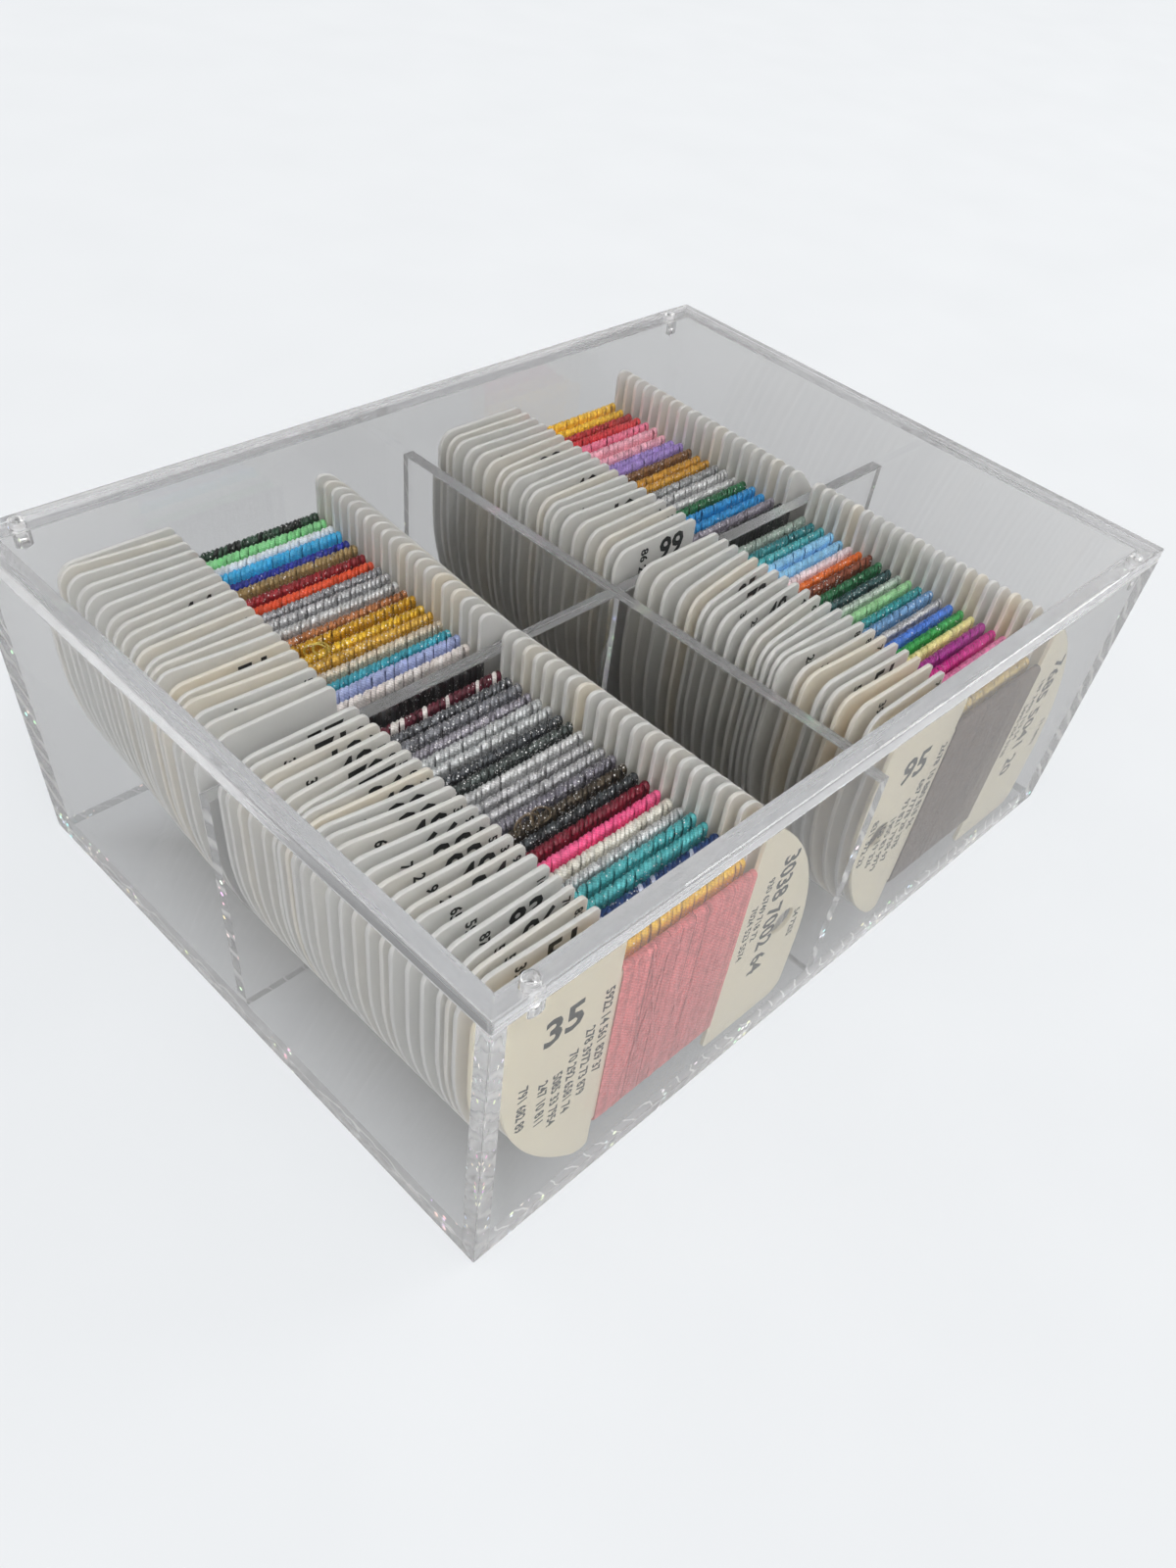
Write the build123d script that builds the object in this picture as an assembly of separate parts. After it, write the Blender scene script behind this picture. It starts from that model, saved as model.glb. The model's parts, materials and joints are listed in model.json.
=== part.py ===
from build123d import *
import math
import os

# A clear box with a loose lid, split into four compartments by two crossing dividers.
# Each compartment holds a row of standing cards, and thread is wound round each card's waist.
# Millimetres. The origin is the middle of the underside, +X runs along the long walls,
# +Y runs from the front wall to the back wall, and +Z is up.

# The clear sheets
wall_thickness = 4.76
floor_thickness = 4.76
lid_thickness = 3.18
divider_thickness = 3.0
divider_height = 57.15
lap_clearance = 0.1
lid_edge_ease = 0.4

# The lid's locating pins and the sockets that they drop into
pin_diameter = 3.0
pin_reach = 2.6
pin_tip_ease = 0.5
pin_inset = 9.5
pin_clearance = 0.3
socket_depth = 3.4
drill_point_angle = 118.0

# The thread card: two lobes joined by a narrow waist, the same shape when turned half round
card_length = 85.7
card_height = 63.4
card_thickness = 0.9
lobe_width = 25.6
lobe_curve_radius = 60.0
lobe_tip_width = 3.3
outer_corner_radius = 4.0
inner_corner_radius = 1.5
tip_radius = 3.0
waist_height = 45.0
hang_hole_diameter = 6.5
hang_hole_inset = 9.0
hang_hole_drop = 2.5

# The thread wound round the waist
winding_thickness = 2.6
winding_wrap = 1.8
winding_edge_radius = 1.2
winding_end_gap = 0.3

# The four rows of cards
compartment_depth = 67.2
card_end_play = 9.5
head_room = 4.3
front_gap = 0.3
side_gap = 0.8
front_row_pitch = 2.88
back_row_pitch = 3.1
front_row_free_depth = 0.3
back_row_free_depth = 4.6
left_back_drift = 5.2
right_back_drift = 1.6
groups_per_row = 6

compartment_length = card_length + card_end_play
inner_length = 2 * compartment_length + divider_thickness
inner_depth = 2 * compartment_depth + divider_thickness
box_length = inner_length + 2 * wall_thickness
box_depth = inner_depth + 2 * wall_thickness
wall_height = floor_thickness + card_height + head_room
pin_x = box_length / 2 - pin_inset
pin_y = box_depth / 2 - wall_thickness / 2
winding_length = card_length - 2 * lobe_width - 2 * winding_end_gap
winding_height = waist_height + 2 * winding_wrap


def floor_panel():
    """The floor, glued between the four walls."""
    return Pos(0, 0, floor_thickness / 2) * Box(inner_length, inner_depth, floor_thickness)


def mitred_wall(length, depth):
    """A wall of the given outer length, mitred at both ends, with its outer face at y = -depth / 2."""
    outer_y = -depth / 2
    inner_y = outer_y + wall_thickness
    inner_half = length / 2 - wall_thickness
    plan = make_face(
        Polyline(
            (-length / 2, outer_y),
            (length / 2, outer_y),
            (inner_half, inner_y),
            (-inner_half, inner_y),
            close=True,
        )
    )
    return extrude(plan, amount=wall_height)


def socket():
    """The drilled hole for one lid pin, with its mouth at the origin and its drill point below."""
    radius = pin_diameter / 2 + pin_clearance
    point_height = radius / math.tan(math.radians(drill_point_angle / 2))
    bore = Pos(0, 0, -socket_depth / 2) * Cylinder(radius, socket_depth)
    point = Pos(0, 0, -socket_depth - point_height / 2) * Cone(0, radius, point_height)
    return bore + point


def front_wall():
    """The front wall, with a socket near each end of its top edge."""
    wall = mitred_wall(box_length, box_depth)
    for side in (-1, 1):
        wall -= Pos(side * pin_x, -pin_y, wall_height) * socket()
    return wall


def lengthwise_divider():
    """The divider along X, with its half of the crossing joint open at the top."""
    sheet = Box(inner_length, divider_thickness, divider_height)
    notch = Box(divider_thickness + 2 * lap_clearance, divider_thickness, divider_height / 2)
    return Pos(0, 0, floor_thickness + divider_height / 2) * (sheet - Pos(0, 0, divider_height / 4) * notch)


def cross_divider():
    """The divider along Y, with its half of the crossing joint open at the bottom."""
    sheet = Box(divider_thickness, inner_depth, divider_height)
    notch = Box(divider_thickness, divider_thickness + 2 * lap_clearance, divider_height / 2)
    return Pos(0, 0, floor_thickness + divider_height / 2) * (sheet - Pos(0, 0, -divider_height / 4) * notch)


def lid_panel():
    """The lid sheet, flush with the walls' outer faces, with a hole for each pin."""
    sheet = Pos(0, 0, wall_height + lid_thickness / 2) * Box(box_length, box_depth, lid_thickness)
    sheet = chamfer(sheet.edges().group_by(Axis.Z)[-1], lid_edge_ease)
    for x_side in (-1, 1):
        for y_side in (-1, 1):
            sheet -= Pos(x_side * pin_x, y_side * pin_y, wall_height + lid_thickness / 2) * Cylinder(
                pin_diameter / 2, lid_thickness
            )
    return sheet


def lid_pin(x_side, y_side):
    """One locating pin, glued in the lid and flush with its top."""
    length = lid_thickness + pin_reach
    pin = Cylinder(pin_diameter / 2, length)
    pin = chamfer(pin.edges().sort_by(Axis.Z)[0], pin_tip_ease)
    return Pos(x_side * pin_x, y_side * pin_y, wall_height - pin_reach + length / 2) * pin


def lobe():
    """The card's left lobe: square at the top and cut by a wide curve down to a blunt tip."""
    outer = -card_length / 2
    inner = outer + lobe_width
    top = card_height / 2
    curve_run = lobe_width - lobe_tip_width
    curve_drop = math.sqrt(lobe_curve_radius**2 - (lobe_curve_radius - curve_run) ** 2)
    curve_start = curve_drop - top
    curve_angle = math.degrees(math.asin(curve_drop / lobe_curve_radius))
    curve = JernArc((outer, curve_start), (0, -1), lobe_curve_radius, curve_angle)
    edges = Polyline(curve @ 1, (inner, -top), (inner, top), (outer, top), (outer, curve_start))
    face = make_face([curve, edges])
    corners = face.vertices()
    face = fillet(corners.sort_by_distance((outer, top))[0], outer_corner_radius)
    face = fillet(face.vertices().sort_by_distance((inner, top))[0], inner_corner_radius)
    face = fillet(face.vertices().sort_by_distance((inner, -top))[0], inner_corner_radius)
    return fillet(face.vertices().sort_by_distance(curve @ 1)[0], tip_radius)


def card_blank():
    """A standing card without its hang hole, centred on the origin, its faces towards -Y and +Y."""
    waist = Rectangle(card_length - lobe_width, waist_height)
    outline = lobe() + waist + Rot(0, 0, 180) * lobe()
    return extrude(Plane.XZ * outline, amount=card_thickness / 2, both=True)


def thread_card(blank, hole_end):
    """A card with its hang hole in the lobe at the given end, -1 for left and 1 for right."""
    hole = Rot(90, 0, 0) * Cylinder(hang_hole_diameter / 2, card_thickness)
    hole_x = hole_end * (card_length / 2 - hang_hole_inset)
    return blank - Pos(hole_x, 0, -hole_end * hang_hole_drop) * hole


def winding():
    """The thread wound up and down round a card's waist, as one sleeve that the card runs through."""
    profile = RectangleRounded(winding_thickness, winding_height, winding_edge_radius)
    waist_slot = Rectangle(card_thickness, waist_height)
    return extrude(Plane.YZ * (profile - waist_slot), amount=winding_length / 2, both=True)


def row_places(x_side, y_side, pitch, free_depth, drift):
    """The centre of each card of one row, from its front to its back."""
    left = side_gap + (divider_thickness / 2 if x_side > 0 else -inner_length / 2)
    front = front_gap + (divider_thickness / 2 if y_side > 0 else -inner_depth / 2)
    count = int((compartment_depth - front_gap - free_depth) / pitch)
    places = []
    for index in range(count):
        x = left + card_length / 2 + drift * index / count
        y = front + winding_thickness / 2 + index * pitch
        places.append(Pos(x, y, floor_thickness + card_height / 2))
    return places


def row_groups(places):
    """The row's places shared out as evenly as they go, from the front to the back."""
    count = len(places)
    bounds = [count * group // groups_per_row for group in range(groups_per_row + 1)]
    return [places[low:high] for low, high in zip(bounds, bounds[1:])]


parts = {
    "floor_panel": floor_panel(),
    "front_wall": front_wall(),
    "back_wall": Rot(0, 0, 180) * front_wall(),
    "left_wall": Rot(0, 0, -90) * mitred_wall(box_depth, box_length),
    "right_wall": Rot(0, 0, 90) * mitred_wall(box_depth, box_length),
    "lengthwise_divider": lengthwise_divider(),
    "cross_divider": cross_divider(),
    "lid_panel": lid_panel(),
    "lid_pin_front_left": lid_pin(-1, -1),
    "lid_pin_front_right": lid_pin(1, -1),
    "lid_pin_back_left": lid_pin(-1, 1),
    "lid_pin_back_right": lid_pin(1, 1),
}

# Each row: its side of the box in X and Y, its pitch, the depth left free behind it,
# how far its back card stands further right than its front one, and its cards' hole end.
rows = {
    "left_front": (-1, -1, front_row_pitch, front_row_free_depth, 0, 1),
    "left_back": (-1, 1, back_row_pitch, back_row_free_depth, left_back_drift, 1),
    "right_front": (1, -1, front_row_pitch, front_row_free_depth, 0, -1),
    "right_back": (1, 1, back_row_pitch, back_row_free_depth, right_back_drift, 1),
}

blank_card = card_blank()
wound_thread = winding()
for row, (x_side, y_side, pitch, free_depth, drift, hole_end) in rows.items():
    card = thread_card(blank_card, hole_end)
    places = row_places(x_side, y_side, pitch, free_depth, drift)
    for number, group in enumerate(row_groups(places), start=1):
        parts[f"{row}_cards_{number}"] = Compound([place * card for place in group])
        parts[f"{row}_threads_{number}"] = Compound([place * wound_thread for place in group])

os.makedirs("parts", exist_ok=True)
for name, shape in parts.items():
    export_step(shape, f"parts/{name}.step")
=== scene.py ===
"""The looks of a clear embroidery thread box: four rows of thread cards under a loose lid."""

import json
import math

import bmesh
import bpy
import numpy as np
from mathutils import Matrix, Vector

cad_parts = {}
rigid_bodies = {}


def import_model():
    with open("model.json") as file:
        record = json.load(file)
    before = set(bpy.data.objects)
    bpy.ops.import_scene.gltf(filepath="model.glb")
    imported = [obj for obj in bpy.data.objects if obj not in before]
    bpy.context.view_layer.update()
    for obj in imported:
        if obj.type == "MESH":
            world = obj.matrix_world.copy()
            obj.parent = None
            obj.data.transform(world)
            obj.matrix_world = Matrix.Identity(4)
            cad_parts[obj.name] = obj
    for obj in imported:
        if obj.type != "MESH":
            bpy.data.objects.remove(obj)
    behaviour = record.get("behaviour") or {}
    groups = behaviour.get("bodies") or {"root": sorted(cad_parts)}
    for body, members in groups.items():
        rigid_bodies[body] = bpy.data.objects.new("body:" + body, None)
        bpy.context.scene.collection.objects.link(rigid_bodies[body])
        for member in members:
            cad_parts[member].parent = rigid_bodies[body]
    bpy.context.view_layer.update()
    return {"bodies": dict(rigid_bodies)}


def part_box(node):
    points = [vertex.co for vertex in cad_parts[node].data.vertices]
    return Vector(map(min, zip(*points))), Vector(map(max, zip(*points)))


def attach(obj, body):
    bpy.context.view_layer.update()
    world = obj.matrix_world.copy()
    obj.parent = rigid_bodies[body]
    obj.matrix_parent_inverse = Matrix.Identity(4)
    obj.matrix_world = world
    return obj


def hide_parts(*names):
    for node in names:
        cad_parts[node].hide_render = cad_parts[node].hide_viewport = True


MM = 0.001

# The card blank and the thread round it, in millimetres, about the card's own middle
CARD_LENGTH = 85.7
CARD_HEIGHT = 63.4
CARD_THICKNESS = 0.9
LOBE_WIDTH = 25.6
LOBE_CURVE_RADIUS = 60.0
LOBE_TIP_WIDTH = 3.3
WAIST_HEIGHT = 45.0
OUTER_CORNER_RADIUS = 4.0
INNER_CORNER_RADIUS = 1.5
TIP_RADIUS = 3.0
CARD_RIM = 0.22
BEND_LINES = (19.5, 24.0, 28.5, 33.0, 37.5, 40.5)
HANG_HOLE_RADIUS = 3.25
HANG_HOLE_INSET = 9.0
HANG_HOLE_DROP = 2.5
WINDING_LENGTH = 33.9
WINDING_HEIGHT = 48.6
WINDING_THICKNESS = 2.6
FILLING_INSET = (0.3, 0.32, 0.35)
FILLING_EASE = 0.85

# The two kinds of thread: how many turns of it are in sight, its thickness and its breadth in millimetres
KINDS = {"braid": (31, 0.84, 1.14), "silk": (112, 0.4, 0.4)}

# The clear sheets, in millimetres
DIVIDER_THICKNESS = 3.0
LAP_CLEARANCE = 0.1
GLUE_LINE = 0.02
LID_SEAT = 0.05
WALL_EASE = 0.25
MITRE_FLAT = 0.2
DIVIDER_EASE = 0.2
FLOOR_EASE = 0.15
LID_CORNER_EASE = 0.5
LID_TOP_EASE = 0.4
LID_FOOT_EASE = 0.12

# The lid's pins and their sockets, in millimetres
PIN_RADIUS = 1.5
PIN_GLUE = 0.03
PIN_TIP_EASE = 0.5
PIN_TOP_EASE = 0.12
SOCKET_RADIUS = 1.8
SOCKET_DEPTH = 3.4
DRILL_POINT = 1.08

# How near two places have to be to count as the same, and faces above this many square millimetres stay flat
CLOSE = 0.01
LARGE_FACE = 8

PINS = [f"lid_pin_{place}" for place in ("front_left", "front_right", "back_left", "back_right")]

# Where each finish of a clear piece stands in its list
POLISHED, SAWN_LENGTHWISE, SAWN_CROSSWISE, GLUED_MITRE, GLUED_FOOT = range(5)

# The studio: how bright it is at each height, from -1 straight down to 1 straight up, the way to its
# dark patch, which the lid mirrors to the camera, and the way to the wide window in front
SKY = ((-0.05, 0.32), (-0.02, 0.85), (0.35, 0.85), (0.6, 1.3), (0.8, 1.65), (0.92, 2.4), (0.99, 3.6))
DARK_CEILING = (0.45, 0.42, 0.788)
DARK_SHARE = 0.05
WINDOW = (-0.4, -0.84, 0.37)
WINDOW_LEVEL = 2.5
LAMP_PLACE = (1.05, -0.4, 0.95)
LAMP_AIM = (0, 0, 0.03)

# The tabletop: its side in metres, then in millimetres how far it lies under the box, how far the cards'
# painted shadow reaches from its middle along x and y, how far that middle is moved to the front, and where
# the painted shadow starts and ends
TABLETOP_SIDE = 40
TABLETOP_DROP = 0.4
SHADE_REACH = (90.0, 62.0)
SHADE_SHIFT = 4.0
SHADE_EDGE = (-12.0, 6.0)

# The camera, fitted to the straight edges of the box in the photograph, in millimetres
CAMERA_PLACE = (-166.3, -137.4, 202.1)
CAMERA_RIGHT = (0.70182, -0.70332, 0.11309)
CAMERA_UP = (0.4924, 0.5937, 0.6364)
FILM_HEIGHT = 36
CAMERA_LENS = 26.43
CAMERA_SHIFT = (-0.0040, 0.1027)

# Each thread: its colour, a second colour, the second colour's share and its metal shine
THREADS = {
    "forest": ("#1f3f2c", "#0d1510", 0.3, 0.5),
    "mint": ("#7fd489", "#c8efcc", 0.1, 0.3),
    "white": ("#e2eaf0", "#ffffff", 0.15, 0.3),
    "sky": ("#2fb2ea", "#8fdcf5", 0.08, 0.3),
    "navy": ("#1729a0", "#0d1c66", 0.15, 0.35),
    "tan": ("#a98f5c", "#7a6238", 0.2, 0.5),
    "garnet": ("#9c1020", "#5c0812", 0.2, 0.5),
    "flame": ("#ec5326", "#d5cfc8", 0.08, 0.3),
    "pewter": ("#8c8c90", "#c2c3c6", 0.12, 0.8),
    "silver": ("#b0b0b2", "#e6e7e9", 0.12, 0.8),
    "light_silver": ("#c4c5c5", "#f4f5f5", 0.15, 0.75),
    "copper": ("#ad6b35", "#d9a98d", 0.06, 0.7),
    "dark_gold": ("#cf9d14", "#94690f", 0.12, 0.7),
    "olive_gold": ("#e4b61c", "#f2da6a", 0.1, 0.7),
    "brass": ("#d3a434", "#efd284", 0.1, 0.7),
    "champagne": ("#cabba4", "#efe5d4", 0.15, 0.6),
    "lagoon": ("#2f9fb2", "#73cfdc", 0.1, 0.45),
    "lavender_blue": ("#a3b0de", "#cdd6f0", 0.12, 0.25),
    "pearl": ("#e8ded8", "#ffffff", 0.2, 0.35),
    "black": ("#232326", "#55575c", 0.08, 0.45),
    "maroon": ("#5c1428", "#efe9e4", 0.38, 0.4),
    "charcoal_silver": ("#56585d", "#b5b8bc", 0.12, 0.85),
    "grey": ("#7b7c82", "#a9abb0", 0.15, 0.7),
    "mauve_silver": ("#96929c", "#cbc8d0", 0.12, 0.75),
    "silver_white": ("#bdc0c1", "#ffffff", 0.12, 0.75),
    "charcoal": ("#3f4246", "#878d93", 0.1, 0.8),
    "green_charcoal": ("#464d4b", "#8e9a97", 0.1, 0.8),
    "slate_mauve": ("#797681", "#b5b3bb", 0.1, 0.75),
    "brown_black": ("#3a3023", "#7b6a52", 0.1, 0.6),
    "coal": ("#2a2b2f", "#6d7a7d", 0.1, 0.7),
    "crimson": ("#7e0a28", "#52061a", 0.15, 0.35),
    "hot_pink": ("#f5548f", "#ff93ba", 0.12, 0.15),
    "ivory": ("#dfdbcd", "#ffffff", 0.15, 0.45),
    "teal": ("#47adb2", "#9adcdd", 0.08, 0.45),
    "dark_teal": ("#237f85", "#5cb0b5", 0.1, 0.45),
    "navy_fleck": ("#1c3a72", "#c6cbe0", 0.1, 0.5),
    "gold_yellow": ("#f8c41c", "#ffe070", 0.1, 0.4),
    "rose": ("#ea8686", "#da6f70", 0.25, 0.12),
    "deep_red": ("#b31a22", "#d8454a", 0.1, 0.3),
    "red": ("#dc3038", "#ee6a6c", 0.1, 0.25),
    "rose_pink": ("#f27d9d", "#f9adc0", 0.12, 0.15),
    "light_pink": ("#f7b3c3", "#fcd8de", 0.12, 0.15),
    "lavender": ("#a88cd4", "#cbb8ea", 0.12, 0.25),
    "brown": ("#8a6034", "#5a3c1e", 0.15, 0.5),
    "amber": ("#cb942a", "#ecc060", 0.1, 0.55),
    "slate": ("#9c9e9f", "#c9cbcc", 0.12, 0.6),
    "azure": ("#1c8ed0", "#62baea", 0.1, 0.35),
    "mauve_grey": ("#918b97", "#b8b1bb", 0.12, 0.5),
    "grey_green": ("#9aab9f", "#c6d3cd", 0.12, 0.5),
    "light_blue": ("#8ccaf0", "#c6e6f8", 0.12, 0.3),
    "blush": ("#efd8dd", "#ffffff", 0.15, 0.3),
    "copper_orange": ("#e86c14", "#f4a468", 0.1, 0.5),
    "dark_copper": ("#80391c", "#b9795a", 0.1, 0.6),
    "dark_green": ("#16663a", "#3f9a66", 0.1, 0.4),
    "navy_green": ("#264a4c", "#4a7d7c", 0.12, 0.5),
    "sage_silver": ("#b4c6b8", "#e2ece4", 0.12, 0.6),
    "light_green": ("#98d396", "#c8eec6", 0.12, 0.35),
    "green_blue": ("#25969a", "#67c4c6", 0.1, 0.45),
    "steel_blue": ("#6a9ccc", "#a4c8e8", 0.1, 0.5),
    "blue": ("#3f78d8", "#7aa6ee", 0.1, 0.4),
    "green": ("#259e44", "#63c97c", 0.1, 0.4),
    "pale_yellow": ("#eae092", "#f8f3cf", 0.12, 0.3),
    "purple": ("#a3158a", "#c865b6", 0.1, 0.35),
    "magenta": ("#cb1688", "#e468b0", 0.1, 0.35),
    "pink": ("#e87aac", "#f8b4d2", 0.12, 0.25),
    "pale_gold": ("#cdb26c", "#e8d8a8", 0.12, 0.55),
    "taupe": ("#675446", "#80705f", 0.15, 0.3),
}

# Threads that show their second colour in whole turns, and threads of fine silk. The others are braid.
STRIPED = {"forest", "flame", "black", "maroon", "navy_fleck"}
SILK = {"rose", "taupe"}
CORE_SHRINK = (1, 0.8, 0.965)

# How uneven the turns are. Slant and drift are shares of the pitch between turns, each with its spread.
SLANT, SLANT_SPREAD, END_SLANT = 0.9, 0.15, 0.3
DRIFT_SPREAD, MOST_DRIFT = 0.08, 0.2
SLACK = 0.18
FLATNESS = (0.9, 1.0)
BRAID_DEPTH = (0.84, 0.97)
BRAID_BREADTH = (0.965, 1.0)

# Turns of silk that cross the others: how many, how far from the ends, how far aside, and how far they rise
SILK_CROSSINGS = 9
CROSSING_MARGIN = 8
CROSSING_REACH = 7
CROSSING_RISE = 1.03

# How much light the turns give back, and how far the filling is darkened as painted shade between the turns,
# as shares of the colours above, and of their shine
BRAID_LIGHT = (1.3, 1.6)
SILK_LIGHT = (1.15, 1.6)
FILLING_PAINTED_SHADE = 0.65
FILLING_SHINE = 0.5

# How the cards stand: their turn in degrees and the share of it that shows, the twist and the bow of their
# lobes in millimetres, how the bow grows along a lobe, how much of it the next card keeps, and its room
CARD_TURN, TURN_SHOWN = 0.35, 0.3
LOBE_TWIST = 0.12
BOW_GROWTH = 1.4
BOW_KEPT, BOW_STEP = 0.9, 1.35
BOW_ROOM, BOW_ROOM_INWARDS = 0.85, 1.3

# How creamy the cards are, and how often those behind the foremost one carry each of their numbers
CREAM, CREAM_CURVE = 0.6, 4
PRINTED = {"left_front": 0.8}
OTHERS_PRINTED = 0.2

# Threads with loose loops: where along the winding they start, and how many there are
LOOSE = {"olive_gold": (-10.0, 2), "brown_black": (-9.0, 4)}
LOOP_LEAN = ((math.pi / 2 - 0.7, math.pi / 2 + 0.2), (-0.4, 0.4), (-0.5, 0.5))

# Each row's threads, from its back card to its front card, and the side of the card that its hang hole is in
ROWS = {
    "left_back": (
        "forest mint white sky navy tan garnet flame pewter silver light_silver copper dark_gold "
        "olive_gold brass champagne lagoon lavender_blue pearl black",
        1,
    ),
    "left_front": (
        "maroon charcoal_silver grey mauve_silver silver_white silver_white charcoal green_charcoal "
        "light_silver silver silver slate_mauve brown_black coal crimson hot_pink ivory silver_white "
        "teal teal navy_fleck gold_yellow rose",
        1,
    ),
    "right_back": (
        "gold_yellow gold_yellow deep_red red rose_pink light_pink light_pink lavender lavender brown "
        "amber amber slate light_silver light_silver dark_green azure azure mauve_grey black",
        1,
    ),
    "right_front": (
        "grey_green dark_teal teal light_blue light_blue blush copper_orange dark_copper dark_green "
        "navy_green sage_silver light_green green_blue steel_blue silver blue green pale_yellow purple "
        "magenta pink pale_gold taupe",
        -1,
    ),
}

# The plain numbers printed on a foremost card and on the cards behind it: their size and place in
# millimetres, whether they are turned a quarter, and how many digits each of them has
PRINT_WEIGHT = 0.028
PRINT_HEIGHT = 0.015
FOREMOST_PRINT = (
    (9.5, (-29.5, 19.0), 0, (2,)),
    (3.0, (-19.3, 8.0), 1, (4, 2, 3, 3, 2)),
    (3.0, (-22.7, 2.0), 1, (3, 4, 2, 3)),
    (3.0, (-26.1, -1.0), 1, (2, 3, 4, 2)),
    (3.0, (-29.5, -3.0), 1, (4, 2, 4)),
    (3.0, (-32.9, -1.0), 1, (3, 2, 3)),
    (3.0, (-37.6, 2.0), 1, (3, 3, 2)),
    (6.4, (28.3, 3.0), 1, (4, 4, 2)),
    (2.6, (23.6, 8.0), 1, (3, 4, 3, 2)),
    (2.6, (20.6, 3.0), 1, (4, 3, 4)),
    (2.6, (38.4, -6.0), 1, (2, 4)),
)
OTHER_PRINT = (
    (8.0, (-25.0, 27.3), 0, (2,)),
    (3.2, (-34.0, 26.4), 1, (2, 2)),
    (2.6, (-19.3, 26.4), 1, (3, 2)),
)


# Modelling in Blender's own way -----------------------------------------------------------------------


def put_down():
    """Leave edit mode with nothing selected."""
    if bpy.context.object and bpy.context.object.mode != "OBJECT":
        bpy.ops.object.mode_set(mode="OBJECT")
    bpy.ops.object.select_all(action="DESELECT")


def take_up(piece):
    """Select one piece alone and make it the active one."""
    put_down()
    piece.select_set(True)
    bpy.context.view_layer.objects.active = piece


def settle(piece, name):
    """Name the piece and leave its place, turn and size in its mesh."""
    take_up(piece)
    piece.name = piece.data.name = name
    bpy.ops.object.transform_apply(location=True, rotation=True, scale=True)
    return piece


def block(name, low, high):
    """A block between two corners, in millimetres."""
    put_down()
    middle = [(a + b) / 2 * MM for a, b in zip(low, high)]
    bpy.ops.mesh.primitive_cube_add(size=1, location=middle)
    piece = bpy.context.object
    piece.scale = [(b - a) * MM for a, b in zip(low, high)]
    return settle(piece, name)


def rod(name, radius, low, high, across=(0, 0), axis="Z", sides=48):
    """A round rod between two heights on its axis, in millimetres."""
    put_down()
    middle = (low + high) / 2
    place = {"Z": (across[0], across[1], middle), "Y": (across[0], middle, across[1])}[axis]
    turn = {"Z": (0, 0, 0), "Y": (math.pi / 2, 0, 0)}[axis]
    bpy.ops.mesh.primitive_cylinder_add(
        vertices=sides,
        radius=radius * MM,
        depth=(high - low) * MM,
        location=Vector(place) * MM,
        rotation=turn,
    )
    return settle(bpy.context.object, name)


def mark(piece, kind, test):
    """Go into edit mode with the verts, edges or faces that pass the test selected, in millimetres."""
    take_up(piece)
    bpy.ops.object.mode_set(mode="EDIT")
    bpy.ops.mesh.select_mode(type={"verts": "VERT", "edges": "EDGE", "faces": "FACE"}[kind])
    bpy.ops.mesh.select_all(action="DESELECT")
    shape = bmesh.from_edit_mesh(piece.data)
    shape.normal_update()
    for part in getattr(shape, kind):
        if kind == "verts":
            part.select_set(test(part.co / MM))
        elif kind == "edges":
            ends = [v.co / MM for v in part.verts]
            part.select_set(test((ends[0] + ends[1]) / 2, (ends[1] - ends[0]).normalized()))
        else:
            part.select_set(test(part.calc_center_median() / MM, part.normal))
    shape.select_flush_mode()
    bmesh.update_edit_mesh(piece.data)


def score(piece, place, direction, keep="both"):
    """Cut all round the piece along a plane, and drop the side it faces when only the inner one is kept."""
    mark(piece, "faces", lambda middle, normal: True)
    bpy.ops.mesh.bisect(
        plane_co=Vector(place) * MM,
        plane_no=direction,
        use_fill=keep == "inner",
        clear_outer=keep == "inner",
        threshold=1e-7,
    )
    put_down()


def ease(piece, width, test, segments=2):
    """Bevel the edges that pass the test."""
    mark(piece, "edges", test)
    bpy.ops.mesh.bevel(offset=width * MM, segments=segments, affect="EDGES", clamp_overlap=True)
    put_down()


def carve(piece, cutter):
    """Take the cutter's shape out of the piece."""
    take_up(piece)
    cut = piece.modifiers.new("cut", "BOOLEAN")
    cut.operation = "DIFFERENCE"
    cut.object = cutter
    cut.solver = "EXACT"
    bpy.ops.object.modifier_apply(modifier=cut.name)
    bpy.data.objects.remove(cutter)


def join(name, pieces):
    """Make several pieces one."""
    put_down()
    for piece in pieces:
        piece.select_set(True)
    bpy.context.view_layer.objects.active = pieces[0]
    bpy.ops.object.join()
    piece = bpy.context.object
    piece.name = piece.data.name = name
    return piece


def smooth(piece, angle, flat_above=None):
    """Shade the piece smooth, apart from its sharp edges and its faces above a size."""
    take_up(piece)
    bpy.ops.object.shade_smooth_by_angle(angle=math.radians(angle))
    put_down()
    if flat_above:
        for face in piece.data.polygons:
            face.use_smooth = face.area / MM**2 < flat_above


def cover(piece, finishes, rule=None):
    """Give the piece its finishes, and each face the one that the rule picks by its middle and its normal."""
    piece.data.materials.clear()
    for finish in finishes:
        piece.data.materials.append(finish)
    if rule:
        for face in piece.data.polygons:
            face.material_index = rule(face.center / MM, face.normal)


# Finishes ---------------------------------------------------------------------------------------------


WHITE = (1, 1, 1, 1)
BLACK = (0, 0, 0, 1)


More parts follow.
